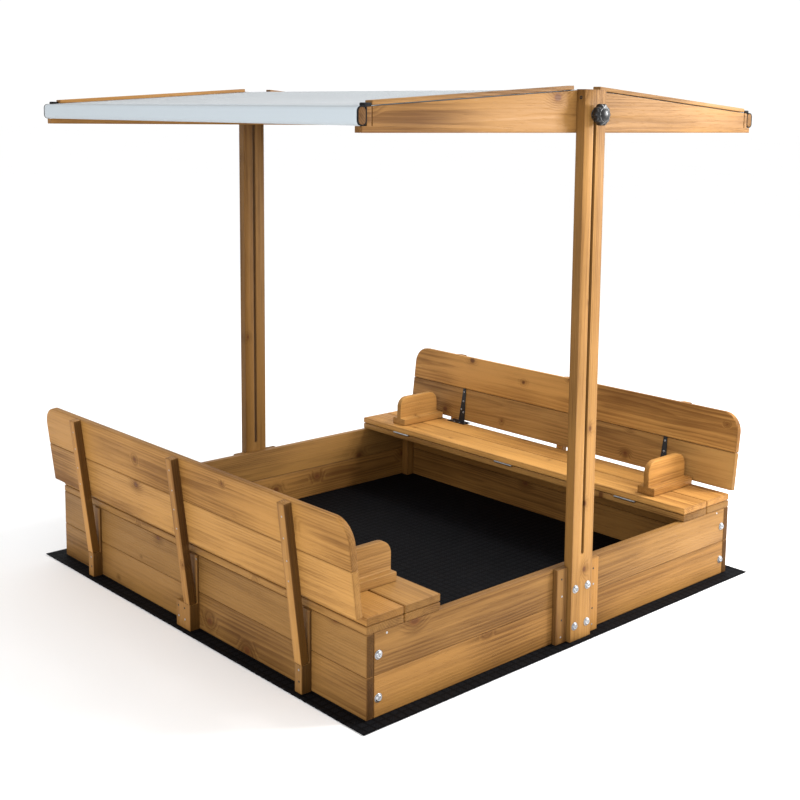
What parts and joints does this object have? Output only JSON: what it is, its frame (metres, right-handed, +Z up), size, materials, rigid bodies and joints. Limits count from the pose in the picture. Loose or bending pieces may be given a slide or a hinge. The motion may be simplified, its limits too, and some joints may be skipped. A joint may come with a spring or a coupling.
{
  "type": "sandbox with cover",
  "caption": "Square wooden sandbox with fold-over bench lids, backrests and armrests, slotted posts, a height-adjustable tilting cloth canopy and a ground liner.",
  "frame": {"origin": "on the ground under the middle of the box", "axes": "+X along the post walls from the left bench to the right bench, +Y from the front post to the rear post, +Z up"},
  "size_m": [1.3246, 1.3158, 1.2072],
  "materials": {
    "frame_wood": "stained fir, satin",
    "seat_wood": "stained fir, satin",
    "canopy_wood": "pale stained fir, satin",
    "cover_cloth": "plain woven polyester, matte",
    "liner_cloth": "black woven ground cloth, matte",
    "black_steel": "black powder coat, semi-gloss",
    "zinc_steel": "bright zinc plate",
    "black_plastic": "black moulded plastic, gloss"
  },
  "bodies": {
    "root": {"ground_liner": "liner_cloth", "left_wall_lower": "frame_wood", "left_wall_upper": "frame_wood", "left_wall_cleat_front": "frame_wood", "left_wall_cleat_middle": "frame_wood", "left_wall_cleat_rear": "frame_wood", "right_wall_lower": "frame_wood", "right_wall_upper": "frame_wood", "right_wall_cleat_front": "frame_wood", "right_wall_cleat_middle": "frame_wood", "right_wall_cleat_rear": "frame_wood", "front_wall_lower": "frame_wood", "front_wall_upper": "frame_wood", "front_post": "frame_wood", "front_post_cleat_left": "frame_wood", "front_post_cleat_right": "frame_wood", "rear_wall_lower": "frame_wood", "rear_wall_upper": "frame_wood", "rear_post": "frame_wood", "rear_post_cleat_left": "frame_wood", "rear_post_cleat_right": "frame_wood", "left_bench_outer": "seat_wood", "left_bench_inner": "seat_wood", "right_bench_outer": "seat_wood", "right_bench_inner": "seat_wood"},
    "left_seat": {"left_seat_outer": "seat_wood", "left_seat_inner": "seat_wood", "left_armrest_front": "seat_wood", "left_armrest_rear": "seat_wood"},
    "left_backrest": {"left_back_lower": "seat_wood", "left_back_upper": "seat_wood", "left_batten_front": "frame_wood", "left_batten_middle": "frame_wood", "left_batten_rear": "frame_wood", "left_back_strap_front": "black_steel", "left_back_strap_rear": "black_steel"},
    "right_seat": {"right_seat_outer": "seat_wood", "right_seat_inner": "seat_wood", "right_armrest_front": "seat_wood", "right_armrest_rear": "seat_wood"},
    "right_backrest": {"right_back_lower": "seat_wood", "right_back_upper": "seat_wood", "right_batten_front": "frame_wood", "right_batten_middle": "frame_wood", "right_batten_rear": "frame_wood", "right_back_strap_front": "black_steel", "right_back_strap_rear": "black_steel"},
    "canopy_carriage": {"front_clamp_bolt": "zinc_steel", "rear_clamp_bolt": "zinc_steel"},
    "canopy": {"front_beam": "canopy_wood", "rear_beam": "canopy_wood", "front_strip_left": "canopy_wood", "front_strip_right": "canopy_wood", "rear_strip_left": "canopy_wood", "rear_strip_right": "canopy_wood", "left_end_bar": "canopy_wood", "right_end_bar": "canopy_wood", "canopy_cover": "cover_cloth"},
    "front_knob": {"front_clamp_knob": "black_plastic"},
    "rear_knob": {"rear_clamp_knob": "black_plastic"}
  },
  "joints": [
    {"name": "left_seat_fold", "type": "hinge", "parent": "root", "child": "left_seat", "pos_m": [-0.4015, 0, 0.1891], "axis": [0, -1, 0], "range_deg": [-180, 0]},
    {"name": "left_back_fold", "type": "hinge", "parent": "left_seat", "child": "left_backrest", "pos_m": [-0.601, 0, 0.2072], "axis": [0, -1, 0], "range_deg": [0, 83]},
    {"name": "right_seat_fold", "type": "hinge", "parent": "root", "child": "right_seat", "pos_m": [0.4015, 0, 0.1891], "axis": [0, 1, 0], "range_deg": [-180, 0]},
    {"name": "right_back_fold", "type": "hinge", "parent": "right_seat", "child": "right_backrest", "pos_m": [0.601, 0, 0.2072], "axis": [0, 1, 0], "range_deg": [0, 83]},
    {"name": "canopy_height", "type": "slide", "parent": "root", "child": "canopy_carriage", "axis": [0, 0, 1], "range_m": [-0.63, 0]},
    {"name": "canopy_tilt", "type": "hinge", "parent": "canopy_carriage", "child": "canopy", "pos_m": [0, 0, 1.148], "axis": [0, 1, 0], "range_deg": [-25, 25]},
    {"name": "front_knob_turn", "type": "hinge", "parent": "canopy_carriage", "child": "front_knob", "pos_m": [0, -0.63, 1.148], "axis": [0, -1, 0], "range_deg": [0, 720]},
    {"name": "rear_knob_turn", "type": "hinge", "parent": "canopy_carriage", "child": "rear_knob", "pos_m": [0, 0.63, 1.148], "axis": [0, 1, 0], "range_deg": [0, 720]}
  ],
  "couplings": [
    {"joint": "left_back_fold", "follows": "left_seat_fold", "ratio": -0.46111},
    {"joint": "right_back_fold", "follows": "right_seat_fold", "ratio": -0.46111}
  ]
}
